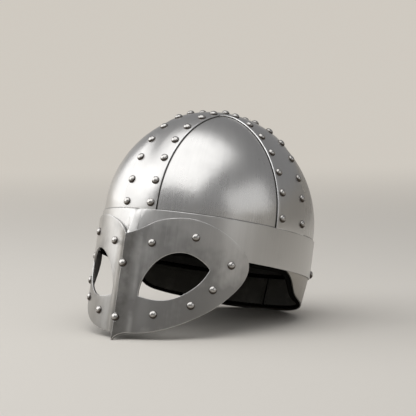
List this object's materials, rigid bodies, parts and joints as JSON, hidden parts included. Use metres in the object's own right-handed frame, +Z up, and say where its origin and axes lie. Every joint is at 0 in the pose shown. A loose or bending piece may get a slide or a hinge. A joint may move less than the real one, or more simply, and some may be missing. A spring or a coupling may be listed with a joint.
{
  "type": "viking spectacle helmet",
  "caption": "Riveted steel helmet with a domed skull framed by crossing bands, a spectacle mask with a nasal ridge, a curved nape guard and a leather lining.",
  "frame": {"origin": "middle of the helmet's outer box, on the table it stands on", "axes": "+X to the wearer's left, -Y the way the face looks, +Z up, as the helmet stands on the tip of its nose and the edge of its nape guard"},
  "size_m": [0.2098, 0.2782, 0.214],
  "materials": {
    "bands": "bright, fine brushed",
    "skull_panels": "satin, brushed upwards",
    "mask": "grey satin, brushed upwards",
    "nape_guard": "satin",
    "rivets": "polished domes",
    "leather": "black, matt"
  },
  "bodies": {
    "root": {"brow_band": "bands", "crest_band": "bands", "side_band_left": "bands", "side_band_right": "bands", "skull_panel_front_left": "skull_panels", "skull_panel_front_right": "skull_panels", "skull_panel_rear_left": "skull_panels", "skull_panel_rear_right": "skull_panels", "spectacle_mask": "mask", "nape_guard": "nape_guard", "sweat_band": "leather", "cap_lining_front_left": "leather", "cap_lining_front_right": "leather", "cap_lining_rear_left": "leather", "cap_lining_rear_right": "leather", "nape_lining_left": "leather", "nape_lining_right": "leather", "crest_rivets_front": "rivets", "crest_rivets_rear": "rivets", "side_rivets_left": "rivets", "side_rivets_right": "rivets", "crown_rivets": "rivets", "mask_brow_rivets": "rivets", "mask_wing_rivets": "rivets", "nose_ridge_rivets": "rivets", "nape_guard_rivets": "rivets"}
  },
  "joints": []
}
